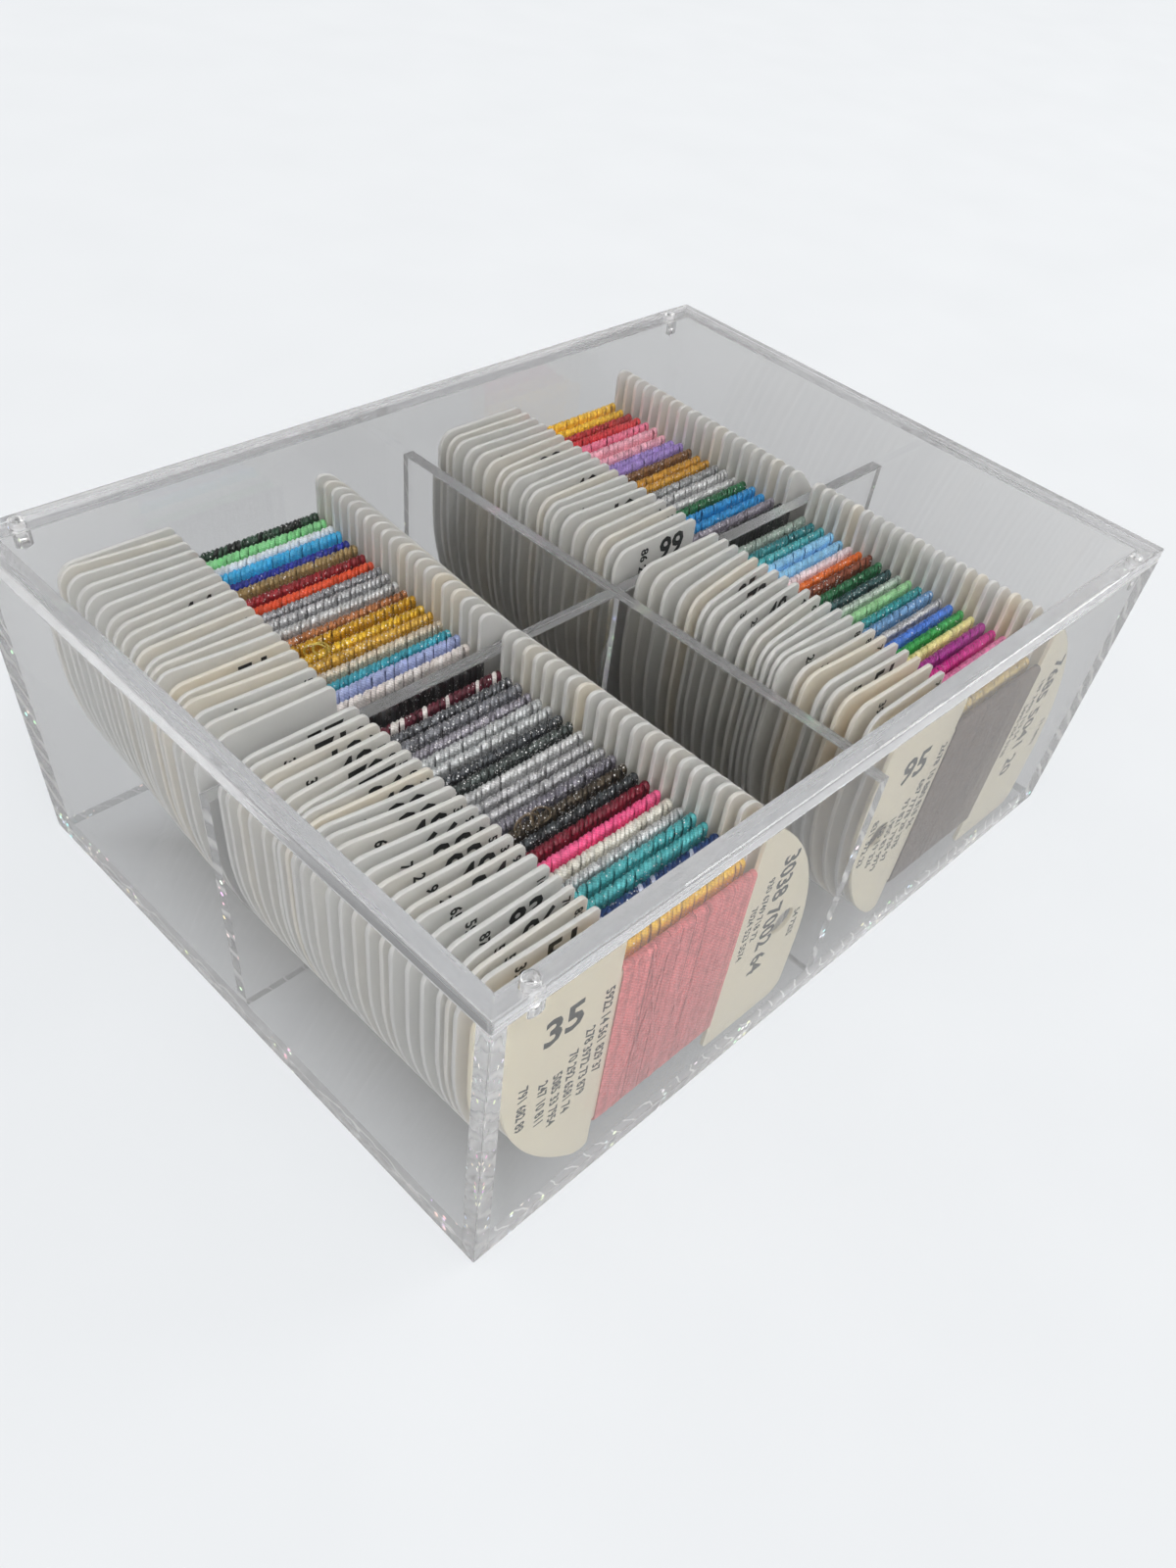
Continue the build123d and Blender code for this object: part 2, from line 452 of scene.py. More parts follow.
class Flow:
    """A value on its way from one shader node to the next."""

    def __init__(self, look, socket):
        self.look = look
        self.socket = socket

    def _math(self, operation, first, second):
        return self.look.node("ShaderNodeMath", {"operation": operation}, {0: first, 1: second})

    def __add__(self, other):
        return self._math("ADD", self, other)

    __radd__ = __add__

    def __sub__(self, other):
        return self._math("SUBTRACT", self, other)

    def __rsub__(self, other):
        return self._math("SUBTRACT", other, self)

    def __mul__(self, other):
        return self._math("MULTIPLY", self, other)

    __rmul__ = __mul__

    def __gt__(self, other):
        return self._math("GREATER_THAN", self, other)

    def __lt__(self, other):
        return self._math("LESS_THAN", self, other)

    def over(self, other):
        """The larger of the two."""
        return self._math("MAXIMUM", self, other)

    def size(self):
        """The value without its sign."""
        return self._math("ABSOLUTE", self, 0.0)

    def wave(self):
        """The sine of the value."""
        return self._math("SINE", self, 0.0)


class Look:
    """A material, or the sky, and the nodes that give it its look."""

    def __init__(self, name, store=bpy.data.materials):
        self.material = store.new(name)
        self.material.use_nodes = True
        self.tree = self.material.node_tree
        self.tree.nodes.clear()

    def node(self, kind, settings=None, inputs=None, output=0):
        """One node: its settings first, then the values or links of its sockets."""
        node = self.tree.nodes.new(kind)
        for key, value in (settings or {}).items():
            if key == "stops":
                ramp = node.color_ramp
                while len(ramp.elements) < len(value):
                    ramp.elements.new(1.0)
                for element, (place, colour) in zip(ramp.elements, value):
                    element.position = place
                    element.color = colour
            else:
                setattr(node, key, value)
        for key, value in (inputs or {}).items():
            if isinstance(value, Flow):
                self.tree.links.new(value.socket, node.inputs[key])
            else:
                node.inputs[key].default_value = value
        return Flow(self, node.outputs[output])

    def place(self):
        """Where on the object a point is, in millimetres."""
        where = self.node("ShaderNodeTexCoord", output=3)
        return self.node("ShaderNodeVectorMath", {"operation": "SCALE"}, {0: where, 3: 1 / MM})

    def towards(self, way, direction):
        """How closely two directions agree."""
        return self.node("ShaderNodeVectorMath", {"operation": "DOT_PRODUCT"}, {0: way, 1: direction}, 1)

    def part(self, where, axis):
        """One of a place's three lengths: 0 for x, 1 for y and 2 for z."""
        return self.node("ShaderNodeSeparateXYZ", {}, {0: where}, axis)

    def stored(self, name, output):
        """A value that was noted on the mesh: output 0 for a colour and 2 for a number."""
        return self.node("ShaderNodeAttribute", {"attribute_name": name}, {}, output)

    def stretched(self, where, scale):
        """A place whose three lengths are scaled each by its own amount."""
        return self.node("ShaderNodeVectorMath", {"operation": "MULTIPLY"}, {0: where, 1: scale})

    def noise(self, where, scale, detail):
        """Soft random patches, from 0 to 1."""
        return self.node("ShaderNodeTexNoise", {}, {"Vector": where, "Scale": scale, "Detail": detail})

    def cells(self, where, scale, output=0):
        """Scattered cells: output 0 for the distance to the nearest middle and 1 for its random colour."""
        return self.node("ShaderNodeTexVoronoi", {}, {"Vector": where, "Scale": scale}, output)

    def spread(self, value, low, high, to_low=0.0, to_high=1.0):
        """The value moved from one range to another, and kept inside it."""
        return self.node("ShaderNodeMapRange", {}, {0: value, 1: low, 2: high, 3: to_low, 4: to_high})

    def blend(self, factor, first, second):
        """The first colour at 0, the second at 1."""
        return self.node("ShaderNodeMix", {"data_type": "RGBA"}, {0: factor, 6: first, 7: second}, 2)

    def relief(self, height, strength, distance):
        """Small bumps, from a height."""
        return self.node(
            "ShaderNodeBump", {}, {"Strength": strength, "Distance": distance * MM, "Height": height}
        )

    def surface(self, **inputs):
        """The shader itself, with each socket's value or link."""
        named = {key.replace("_", " "): value for key, value in inputs.items()}
        shader = self.node("ShaderNodeBsdfPrincipled", {}, named)
        end = self.tree.nodes.new("ShaderNodeOutputMaterial")
        self.tree.links.new(shader.socket, end.inputs["Surface"])
        return self.material


def tint(code):
    """A screen colour, as light."""
    parts = [int(code[i : i + 2], 16) / 255 for i in (1, 3, 5)]
    return tuple(c / 12.92 if c <= 0.04045 else ((c + 0.055) / 1.055) ** 2.4 for c in parts) + (1.0,)


def polished_acrylic(name, painted_shade_clearness):
    """Clear sheet as it comes, with the faintest smears, tinted grey so that what is seen through it is
    darker, as painted shade.
    """
    look = Look(name)
    where = look.place()
    smears = look.spread(look.noise(where, 0.035, 3.0), 0.5, 0.75, 0.0, 0.012)
    return look.surface(
        # painted shade: the grey tint of the base colour darkens all that is seen through the sheet
        Base_Color=(painted_shade_clearness, painted_shade_clearness - 0.003, painted_shade_clearness - 0.004, 1),
        Roughness=smears,
        Transmission_Weight=1.0,
        IOR=1.49,
    )


def sawn_acrylic(name, grain):
    """A sawn and scraped edge, softly clouded, with streaks along it."""
    look = Look(name)
    where = look.place()
    streaks = look.noise(look.stretched(where, grain), 1.0, 2.0)
    return look.surface(
        Base_Color=look.blend(streaks, (0.88, 0.885, 0.895, 1), (0.96, 0.96, 0.97, 1)),
        Roughness=look.spread(streaks, 0.3, 0.7, 0.1, 0.35),
        Transmission_Weight=0.8,
        IOR=1.49,
        Normal=look.relief(streaks, 0.05, 0.1),
    )


def glued_acrylic(name, streaky, haze):
    """A glued joint: a pale film of cement, with slanting streaks and bubbles of air where it hasn't run; the
    bubbles glow in random colours and white as painted sparkle.
    """
    look = Look(name)
    where = look.place()
    patches = look.noise(where, 0.12, 2.0)
    slant = look.part(where, 2) + look.part(where, 0) * 1.4 + patches * 9.0
    streaks = look.spread(slant.wave(), streaky, 0.95)
    bubbles = (look.cells(where, 0.5) < 0.25) * (look.noise(where, 0.09, 1.0) > 0.6)
    film = look.blend(patches, (0.8, 0.805, 0.815, 1), (0.95, 0.955, 0.965, 1))
    # painted sparkle: the bubbles take random colours mixed with white, and glow through the emission
    painted_sparkle = look.blend(0.5, look.cells(where, 0.5, 1), WHITE)
    return look.surface(
        Base_Color=look.blend(bubbles, look.blend(streaks, film, WHITE), painted_sparkle),
        Roughness=0.2,
        Transmission_Weight=0.5,
        IOR=1.49,
        Alpha=streaks.over(bubbles) * (1 - haze) + haze,
        Emission_Color=look.blend(bubbles, BLACK, painted_sparkle),
        Emission_Strength=0.8,
    )


def card_stock():
    """White board, a little creamier on some cards, with a soft shine."""
    look = Look("card_stock")
    where = look.place()
    mottle = look.noise(where, 0.4, 4.0)
    base = look.blend(look.stored("tone", 2), tint("#ecece9"), tint("#fff2d8"))
    base = look.blend(look.spread(mottle, 0.3, 0.75, 0.0, 0.06), base, tint("#c9ccd0"))
    return look.surface(
        Base_Color=base,
        Roughness=look.spread(mottle, 0.3, 0.7, 0.34, 0.5),
        Subsurface_Weight=0.5,
        Subsurface_Radius=(1.0, 1.0, 1.0),
        Subsurface_Scale=0.6 * MM,
        Normal=look.relief(look.noise(where, 2.5, 3.0), 0.08, 0.05),
    )


def print_ink():
    """Black ink on a card."""
    look = Look("print_ink")
    worn = look.noise(look.place(), 1.8, 3.0)
    return look.surface(Base_Color=look.blend(worn, tint("#08090a"), tint("#1f2224")), Roughness=0.55)


def wound_thread():
    """Thread: twisted strands, some with metal foil, with painted glints in small white flecks that are more
    often on the shinier threads.
    """
    look = Look("wound_thread")
    where = look.place()
    shade = look.stored("shade", 0)
    shine = look.stored("shine", 2)
    x, y, z = (look.part(where, axis) for axis in range(3))
    twist = look.spread(((x + y + z) * 8.0 + look.noise(where, 0.9, 1.0) * 4.0).wave(), -1.0, 1.0)
    lustre = look.noise(where, 0.8, 2.0)
    # painted glints: small cells whose base colour turns white, more of them on the shinier threads
    spot = look.cells(where, 2.6)
    chosen = look.node("ShaderNodeSeparateColor", {}, {"Color": look.cells(where, 2.6, 1)}, 0)
    painted_glint = (spot < 0.4) * (chosen > look.spread(shine, 0.3, 0.8, 1.0, 0.72))
    base = look.blend(look.spread(lustre, 0.3, 0.72), look.blend(0.35, shade, BLACK), shade)
    base = look.blend(twist * 0.2, base, BLACK)
    base = look.blend(painted_glint * 0.9, base, WHITE)
    return look.surface(
        Base_Color=base,
        Metallic=look.spread(shine, 0.3, 1.0, 0.0, 0.6),
        Roughness=look.spread(lustre, 0.3, 0.7, 0.5, 0.25),
        Normal=look.relief(twist, 0.35, 0.08),
    )


def pale_floor():
    """A plain pale tabletop that glows evenly, with a painted shadow in its glow under the box where the
    cards keep the light off it.
    """
    look = Look("pale_floor")
    where = look.place()
    grain = look.noise(where, 0.02, 2.0)
    aside = look.part(where, 0).size() - SHADE_REACH[0]
    behind = (look.part(where, 1) + SHADE_SHIFT).size() - SHADE_REACH[1]
    outside_painted_shadow = look.spread(aside.over(behind), *SHADE_EDGE)
    return look.surface(
        Base_Color=look.blend(grain, (0.10, 0.10, 0.10, 1), (0.12, 0.12, 0.12, 1)),
        Roughness=0.9,
        Specular_IOR_Level=0.0,
        # painted shadow: the glow dims under the card rows
        Emission_Color=look.blend(outside_painted_shadow, (0.36, 0.36, 0.35, 1), (0.94, 0.97, 1.0, 1)),
        Emission_Strength=0.68,
    )


# The box ----------------------------------------------------------------------------------------------


def corners_of(node):
    """A solid's lowest and highest corners, in millimetres."""
    low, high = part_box(node)
    return Vector(low) / MM, Vector(high) / MM


def long_way(low, high):
    """The axis that a sheet runs along: 0 for x and 1 for y."""
    return 0 if high.x - low.x > high.y - low.y else 1


def pin_spot(node):
    """Where a pin stands."""
    middle = sum(corners_of(node), Vector()) / 2
    return middle.x, middle.y


def make_wall(node, finishes, floor_top, divider_top):
    """A wall, mitred at both ends and glued to the floor and to a divider's end."""
    low, high = corners_of(node)
    along = long_way(low, high)
    across = 1 - along
    thickness = high[across] - low[across]
    side = 1 if low[across] + high[across] > 0 else -1
    inner = side * min(abs(low[across]), abs(high[across]))
    outer = side * max(abs(low[across]), abs(high[across]))
    half = high[along] - GLUE_LINE / 2
    low[along], high[along] = -half, half
    high.z -= LID_SEAT
    wall = block(node, low, high)
    mark(wall, "verts", lambda co: abs(co[across] - inner) < CLOSE)
    shrink = [1.0, 1.0, 1.0]
    shrink[along] = (half - thickness) / half
    bpy.ops.transform.resize(value=shrink, center_override=(0, 0, 0))
    put_down()
    for end in (-1, 1):
        corner = [0.0, 0.0, 0.0]
        corner[along], corner[across] = end * (half - MITRE_FLAT), outer
        facing = [0.0, 0.0, 0.0]
        facing[along], facing[across] = end, side
        score(wall, corner, facing, keep="inner")
    ease(wall, WALL_EASE, lambda mid, way: abs(way[along]) > 0.9 and abs(mid[across] - outer) < CLOSE)
    score(wall, (0, 0, floor_top), (0, 0, 1))
    score(wall, (0, 0, divider_top), (0, 0, 1))
    for edge in (-1, 1):
        cut = [0.0, 0.0, 0.0]
        cut[along] = edge * DIVIDER_THICKNESS / 2
        score(wall, cut, [float(axis == along) for axis in range(3)])
    if along == 0:
        mouth = corners_of("lid_panel")[0].z
        for pin in ("left", "right"):
            spot = pin_spot(f"lid_pin_{'front' if side < 0 else 'back'}_{pin}")
            bore = rod("bore", SOCKET_RADIUS, mouth - SOCKET_DEPTH, mouth + 1, spot)
            mark(bore, "faces", lambda middle, normal: normal.z < -0.9)
            bpy.ops.mesh.extrude_region_move(TRANSFORM_OT_translate={"value": (0, 0, -DRILL_POINT * MM)})
            bpy.ops.mesh.merge(type="CENTER")
            put_down()
            carve(wall, bore)

    def rule(mid, normal):
        slanted = abs(normal.x) > 0.5 and abs(normal.y) > 0.5
        if slanted and abs(mid[across]) < abs(outer) - 1.2 * WALL_EASE:
            return GLUED_MITRE
        if abs(mid[across] - inner) < CLOSE:
            if mid.z < floor_top:
                return GLUED_FOOT
            if abs(mid[along]) < DIVIDER_THICKNESS / 2 and mid.z < divider_top:
                return GLUED_MITRE
        return (SAWN_LENGTHWISE, SAWN_CROSSWISE)[along] if normal.z > 0.9 else POLISHED

    cover(wall, finishes, rule)
    smooth(wall, 30, LARGE_FACE)
    return wall


def make_floor(finishes):
    """The floor, glued at its edges and under the dividers."""
    low, high = corners_of("floor_panel")
    glue = Vector((GLUE_LINE, GLUE_LINE, 0))
    floor = block("floor_panel", low + glue, high - glue)
    for edge in (-1, 1):
        score(floor, (edge * DIVIDER_THICKNESS / 2, 0, 0), (1, 0, 0))
        score(floor, (0, edge * DIVIDER_THICKNESS / 2, 0), (0, 1, 0))
    rim = high - 2 * glue
    ease(floor, FLOOR_EASE, lambda mid, way: mid.z < CLOSE and (abs(mid.x) > rim.x or abs(mid.y) > rim.y), 1)

    def rule(mid, normal):
        under = abs(mid.x) < DIVIDER_THICKNESS / 2 or abs(mid.y) < DIVIDER_THICKNESS / 2
        return GLUED_FOOT if abs(normal.z) < 0.5 or (normal.z > 0.5 and under) else POLISHED

    cover(floor, finishes, rule)
    return floor


def make_divider(node, finishes):
    """A divider with its half of the crossing joint, glued at its foot and its ends."""
    low, high = corners_of(node)
    along = long_way(low, high)
    low[along] += GLUE_LINE
    high[along] -= GLUE_LINE
    low.z += GLUE_LINE
    middle = (low.z + high.z) / 2
    divider = block(node, low, high)
    ease(divider, DIVIDER_EASE, lambda mid, way: abs(way[along]) > 0.9 and mid.z > high.z - CLOSE)
    slot_low, slot_high = low.copy(), high.copy()
    slot_high[along] = DIVIDER_THICKNESS / 2 + LAP_CLEARANCE
    slot_low[along] = -slot_high[along]
    slot_low[1 - along] -= 1
    slot_high[1 - along] += 1
    if along == 0:
        slot_low.z, slot_high.z = middle, high.z + 1
    else:
        slot_low.z, slot_high.z = low.z - 1, middle + LAP_CLEARANCE / 2
    carve(divider, block("lap", slot_low, slot_high))

    def rule(mid, normal):
        end = abs(normal[along]) > 0.9 and abs(mid[along]) > high[along] / 2
        foot = normal.z < -0.9 and mid.z < low.z + 1
        if end or foot:
            return GLUED_FOOT
        return (SAWN_LENGTHWISE, SAWN_CROSSWISE)[along] if normal.z > 0.3 else POLISHED

    cover(divider, finishes, rule)
    smooth(divider, 30, LARGE_FACE)
    return divider


def make_lid(finishes):
    """The lid sheet, its top edges and corners eased, with a hole for each pin."""
    low, high = corners_of("lid_panel")
    lid = block("lid_panel", low, high)
    ease(lid, LID_CORNER_EASE, lambda mid, way: abs(way.z) > 0.9, 3)
    ease(lid, LID_TOP_EASE, lambda mid, way: mid.z > high.z - CLOSE and abs(way.z) < 0.1, 2)
    ease(lid, LID_FOOT_EASE, lambda mid, way: mid.z < low.z + CLOSE and abs(way.z) < 0.1, 1)
    for node in PINS:
        carve(lid, rod("hole", PIN_RADIUS + PIN_GLUE, low.z - 1, high.z + 1, pin_spot(node)))

    def rule(mid, normal):
        if abs(normal.z) > 0.5:
            return POLISHED
        return SAWN_CROSSWISE if abs(normal.x) > 0.7 else SAWN_LENGTHWISE

    cover(lid, finishes, rule)
    smooth(lid, 35, LARGE_FACE)
    return lid


def make_pin(node, finishes):
    """A locating pin with an eased tip and a faced-off top."""
    low, high = corners_of(node)
    pin = rod(node, PIN_RADIUS - PIN_GLUE, low.z, high.z, pin_spot(node))
    ease(pin, PIN_TIP_EASE, lambda mid, way: mid.z < low.z + CLOSE)
    ease(pin, PIN_TOP_EASE, lambda mid, way: mid.z > high.z - CLOSE)
    cover(pin, finishes)
    smooth(pin, 40)
    return pin


# The cards and their thread ---------------------------------------------------------------------------


def card_blank(hole_end):
    """A card: one lobe cut from a wide round, the same again turned half round, and a waist between them."""
    outer, top = CARD_LENGTH / 2, CARD_HEIGHT / 2
    inner = outer - LOBE_WIDTH
    half = CARD_THICKNESS / 2
    tip = LOBE_WIDTH - LOBE_TIP_WIDTH - outer
    curve_start = math.sqrt(LOBE_CURVE_RADIUS**2 - (LOBE_CURVE_RADIUS - outer - tip) ** 2) - top
    curve_middle = (LOBE_CURVE_RADIUS - outer, curve_start)
    lobe = rod("lobe", LOBE_CURVE_RADIUS, -half, half, curve_middle, "Y", sides=96)
    score(lobe, (-inner, 0, 0), (1, 0, 0), keep="inner")
    score(lobe, (0, 0, -top), (0, 0, -1), keep="inner")
    score(lobe, (0, 0, curve_start), (0, 0, 1), keep="inner")
    mark(lobe, "faces", lambda mid, normal: normal.z > 0.9 and mid.z > curve_start - 0.1)
    bpy.ops.mesh.extrude_region_move(TRANSFORM_OT_translate={"value": (0, 0, (top - curve_start) * MM)})
    put_down()
    rounds = (
        (-outer, top, OUTER_CORNER_RADIUS, 6),
        (-inner, top, INNER_CORNER_RADIUS, 4),
        (-inner, -top, INNER_CORNER_RADIUS, 4),
        (tip, -top, TIP_RADIUS, 4),
    )
    for x, z, radius, segments in rounds:
        ease(
            lobe,
            radius,
            lambda mid, way: abs(way.y) > 0.9 and abs(mid.x - x) < 0.2 and abs(mid.z - z) < 0.2,
            segments,
        )
    for z in (-WAIST_HEIGHT / 2, WAIST_HEIGHT / 2):
        score(lobe, (0, 0, z), (0, 0, 1))
    mark(lobe, "faces", lambda mid, normal: normal.x > 0.9 and abs(mid.z) < WAIST_HEIGHT / 2)
    bpy.ops.mesh.delete(type="FACE")
    put_down()
    other = lobe.copy()
    other.data = lobe.data.copy()
    bpy.context.collection.objects.link(other)
    other.rotation_euler = (0, math.pi, 0)
    settle(other, "other_lobe")
    card = join("card", [lobe, other])
    waist = WAIST_HEIGHT / 2 + CLOSE
    mark(card, "edges", lambda mid, way: abs(abs(mid.x) - inner) < CLOSE and abs(mid.z) < waist)
    bpy.ops.mesh.bridge_edge_loops()
    put_down()
    spot = (hole_end * (outer - HANG_HOLE_INSET), -hole_end * HANG_HOLE_DROP)
    carve(card, rod("hang_hole", HANG_HOLE_RADIUS, -2, 2, spot, "Y", sides=28))
    for x in BEND_LINES:
        score(card, (x, 0, 0), (1, 0, 0))
        score(card, (-x, 0, 0), (1, 0, 0))
    rim = card.modifiers.new("rim", "BEVEL")
    rim.width = CARD_RIM * MM
    rim.segments = 2
    rim.limit_method = "ANGLE"
    rim.angle_limit = math.radians(60)
    take_up(card)
    bpy.ops.object.modifier_apply(modifier=rim.name)
    smooth(card, 40, 4)
    return card


def printed_number(words, size, place, turned):
    """Plain numbers in ink, standing on the card's front face, as a flat mesh."""
    put_down()
    bpy.ops.object.text_add()
    number = bpy.context.object
    number.data.body = words
    number.data.size = size * MM
    number.data.resolution_u = 2
    number.data.offset = PRINT_WEIGHT * size * MM
    number.data.align_x = "CENTER"
    number.data.align_y = "CENTER"
    take_up(number)
    bpy.ops.object.convert(target="MESH")
    number = bpy.context.object
    number.rotation_euler = (math.pi / 2, turned, 0)
    number.location = Vector((place[0], -CARD_THICKNESS / 2 - PRINT_HEIGHT, place[1])) * MM
    return settle(number, "number")


def wound_turns(turns, thread, breadth):
    """Thread wound side by side round the waist: a ring drawn out to a long loop, and repeated."""
    bend = WINDING_THICKNESS / 2 - thread / 2
    put_down()
    bpy.ops.mesh.primitive_torus_add(
        major_segments=14,
        minor_segments=5,
        major_radius=bend * MM,
        minor_radius=thread / 2 * MM,
        rotation=(0, math.pi / 2, 0),
        generate_uvs=True,
    )
    turn = bpy.context.object
    turn.scale = (1, 1, breadth / thread)
    settle(turn, "turn")
    for way in (-1, 1):
        mark(turn, "verts", lambda co: co.z * way > 0)
        bpy.ops.transform.translate(value=(0, 0, way * (WINDING_HEIGHT / 2 - bend - thread / 2) * MM))
        put_down()
    mark(turn, "verts", lambda co: True)
    bpy.ops.transform.translate(value=((breadth - WINDING_LENGTH) / 2 * MM, 0, 0))
    put_down()
    take_up(turn)
    count = len(turn.data.vertices)
    row = turn.modifiers.new("row", "ARRAY")
    row.use_relative_offset = False
    row.use_constant_offset = True
    row.constant_offset_displace = ((WINDING_LENGTH - breadth) / (turns - 1) * MM, 0, 0)
    row.count = turns
    bpy.ops.object.modifier_apply(modifier=row.name)
    return turn, count


def thread_core():
    """The thread under the outer turns, as one soft-edged filling."""
    sizes = (WINDING_LENGTH, WINDING_THICKNESS, WINDING_HEIGHT)
    low = Vector([inset - size / 2 for inset, size in zip(FILLING_INSET, sizes)])
    core = block("core", low, -low)
    ease(core, FILLING_EASE, lambda mid, way: abs(way.x) > 0.9, 4)
    return core


def copy_of(piece, name):
    """The same piece again, with its own mesh."""
    other = piece.copy()
    other.data = piece.data.copy()
    other.name = other.data.name = name
    bpy.context.collection.objects.link(other)
    return other


def read_points(piece):
    """Where the points of the mesh are, in millimetres."""
    points = np.empty(len(piece.data.vertices) * 3)
    piece.data.vertices.foreach_get("co", points)
    return points.reshape(-1, 3) / MM


def write_points(piece, points):
    """Move the points of the mesh."""
    piece.data.vertices.foreach_set("co", (points * MM).ravel())
    piece.data.update()


def note(piece, name, kind, values):
    """Keep a value for each point of the mesh."""
    attribute = piece.data.attributes.new(name, kind, "POINT")
    field = "color" if kind == "FLOAT_COLOR" else "value"
    attribute.data.foreach_set(field, np.asarray(values, dtype=np.float32).ravel())


def dye(piece, shades, shine):
    """Note the thread's colour, one for all or one for each point, and its metal shine."""
    count = len(piece.data.vertices)
    note(piece, "shade", "FLOAT_COLOR", np.broadcast_to(shades, (count, 4)))
    note(piece, "shine", "FLOAT", np.full(count, shine))


def loose_loops(x, count, chance):
    """A few turns of thread that have slipped off and stand up in loops."""
    loops = []
    for index in range(count):
        put_down()
        bpy.ops.mesh.primitive_torus_add(
            major_segments=16,
            minor_segments=5,
            major_radius=chance.uniform(1.2, 1.9) * MM,
            minor_radius=0.2 * MM,
            location=Vector((x + index * 1.3, -0.3, WINDING_HEIGHT / 2 - 0.3)) * MM,
            rotation=[chance.uniform(*limits) for limits in LOOP_LEAN],
            generate_uvs=True,
        )
        loop = bpy.context.object
        loop.scale = (1.3, 1, 1)
        loops.append(settle(loop, "loop"))
    return join("loops", loops)


def wind(template, silk, chance):
    """One card's turns of thread, a little uneven, and which turn each point is in."""
    even_turns, per_turn = template
    turns = copy_of(even_turns, "turns")
    points = read_points(turns)
    count = len(points) // per_turn
    which = np.repeat(np.arange(count), per_turn)
    pitch = WINDING_LENGTH / count
    slant = pitch * chance.normal(SLANT, SLANT_SPREAD, count)
    drift = np.clip(chance.normal(0, DRIFT_SPREAD, count), -MOST_DRIFT, MOST_DRIFT) * pitch
    drift[[0, -1]] = 0
    if silk:
        middle_turns = np.arange(CROSSING_MARGIN, count - CROSSING_MARGIN)
        crossing = chance.choice(middle_turns, SILK_CROSSINGS, replace=False)
        slant[crossing] += chance.uniform(-CROSSING_REACH, CROSSING_REACH, SILK_CROSSINGS)
        points[:, 1] *= CORE_SHRINK[1] * np.where(np.isin(which, crossing), CROSSING_RISE, 1.0)
        points[:, 2] *= CORE_SHRINK[2]
    else:
        points[:, 1] *= chance.uniform(*BRAID_DEPTH)
        points[:, 2] *= chance.uniform(*BRAID_BREADTH)
    slant[[0, -1]] *= END_SLANT
    loose = chance.uniform(-SLACK, 0.0, count)
    flat = chance.uniform(*FLATNESS, count)
    upper = points[:, 2] / (WINDING_HEIGHT / 2)
    across = points[:, 1] / (WINDING_THICKNESS / 2)
    points[:, 0] += slant[which] * across * upper + drift[which]
    points[:, 0] = np.clip(points[:, 0], -WINDING_LENGTH / 2, WINDING_LENGTH / 2)
    points[:, 1] *= flat[which]
    points[:, 2] += loose[which] * np.abs(upper)
    write_points(turns, points)
    return turns, which


def wound_card(thread, templates, core, centre, chance):
    """The turns, the filling and the loose loops of one card's thread, in their colours and their place, the
    filling darker as painted shade between the turns.
    """
    main, second, share, shine = THREADS[thread]
    main, second = np.array(tint(main)), np.array(tint(second))
    silk = thread in SILK
    turns, which = wind(templates["silk" if silk else "braid"], silk, chance)
    count = which[-1] + 1
    if thread in STRIPED:
        mix = (chance.random(count) < share)[:, None]
    else:
        mix = chance.uniform(0, 2 * share, count)[:, None]
    shades = main * (1 - mix) + second * mix
    shades *= chance.uniform(*(SILK_LIGHT if silk else BRAID_LIGHT), count)[:, None]
    shades[:, 3] = 1
    dye(turns, shades[which], shine)
    filling = copy_of(core, "filling")
    write_points(filling, read_points(filling) * CORE_SHRINK)
    # the filling is darkened as painted shade in the gaps between the turns
    dye(filling, main * FILLING_PAINTED_SHADE, shine * FILLING_SHINE)
    pieces = [turns, filling]
    if thread in LOOSE:
        loops = loose_loops(*LOOSE[thread], chance)
        dye(loops, second, shine)
        pieces.append(loops)
    for piece in pieces:
        write_points(piece, read_points(piece) + centre)
    return pieces


def digits(chance, *lengths):
    """Plain numbers of the given lengths, with spaces between them."""
    return " ".join(str(chance.integers(10 ** (length - 1), 10**length)) for length in lengths)


def stand_card(blank, centre, chance, bows, tone, foremost, printing):
    """One card in its place, its lobes bowed a little, with plain numbers printed on its front."""
    card = copy_of(blank, "card")
    lines = FOREMOST_PRINT if foremost else [line for line in OTHER_PRINT if chance.random() < printing]
    prints = []
    for size, spot, quarter, lengths in lines:
        prints.append(printed_number(digits(chance, *lengths), size, spot, quarter * math.pi / 2))
    cover(card, CARD_FINISHES)
    for ink in prints:
        cover(ink, CARD_FINISHES, lambda mid, normal: 1)
    if prints:
        card = join("card", [card, *prints])
    points = read_points(card)
    turn = chance.normal(0, CARD_TURN) * math.pi / 180
    reach = np.clip((np.abs(points[:, 0]) - CARD_LENGTH / 2 + LOBE_WIDTH) / LOBE_WIDTH, 0, 1)
    left = points[:, 0] < 0
    bow = np.where(left, *bows)
    twists = [chance.uniform(-LOBE_TWIST, LOBE_TWIST) for _ in bows]
    twist = np.where(left, *twists)
    points[:, 1] += bow * reach**BOW_GROWTH + twist * reach * points[:, 2] / (CARD_HEIGHT / 2)
    points[:, 1] += points[:, 0] * math.tan(turn) * TURN_SHOWN
    write_points(card, points + centre)
    note(card, "tone", "FLOAT", np.full(len(points), tone))
    return card


def lobe_bows(count, chance):
    """How far the two lobes of each card of a row bow: each card much like the one before it."""
    bows = np.zeros((count, 2))
    for index in range(1, count - 1):
        room = BOW_ROOM + BOW_ROOM_INWARDS * min(index, count - 1 - index, 2)
        step = chance.uniform(-BOW_STEP, BOW_STEP, 2)
        bows[index] = np.clip(bows[index - 1] * BOW_KEPT + step, -room, room)
    return bows


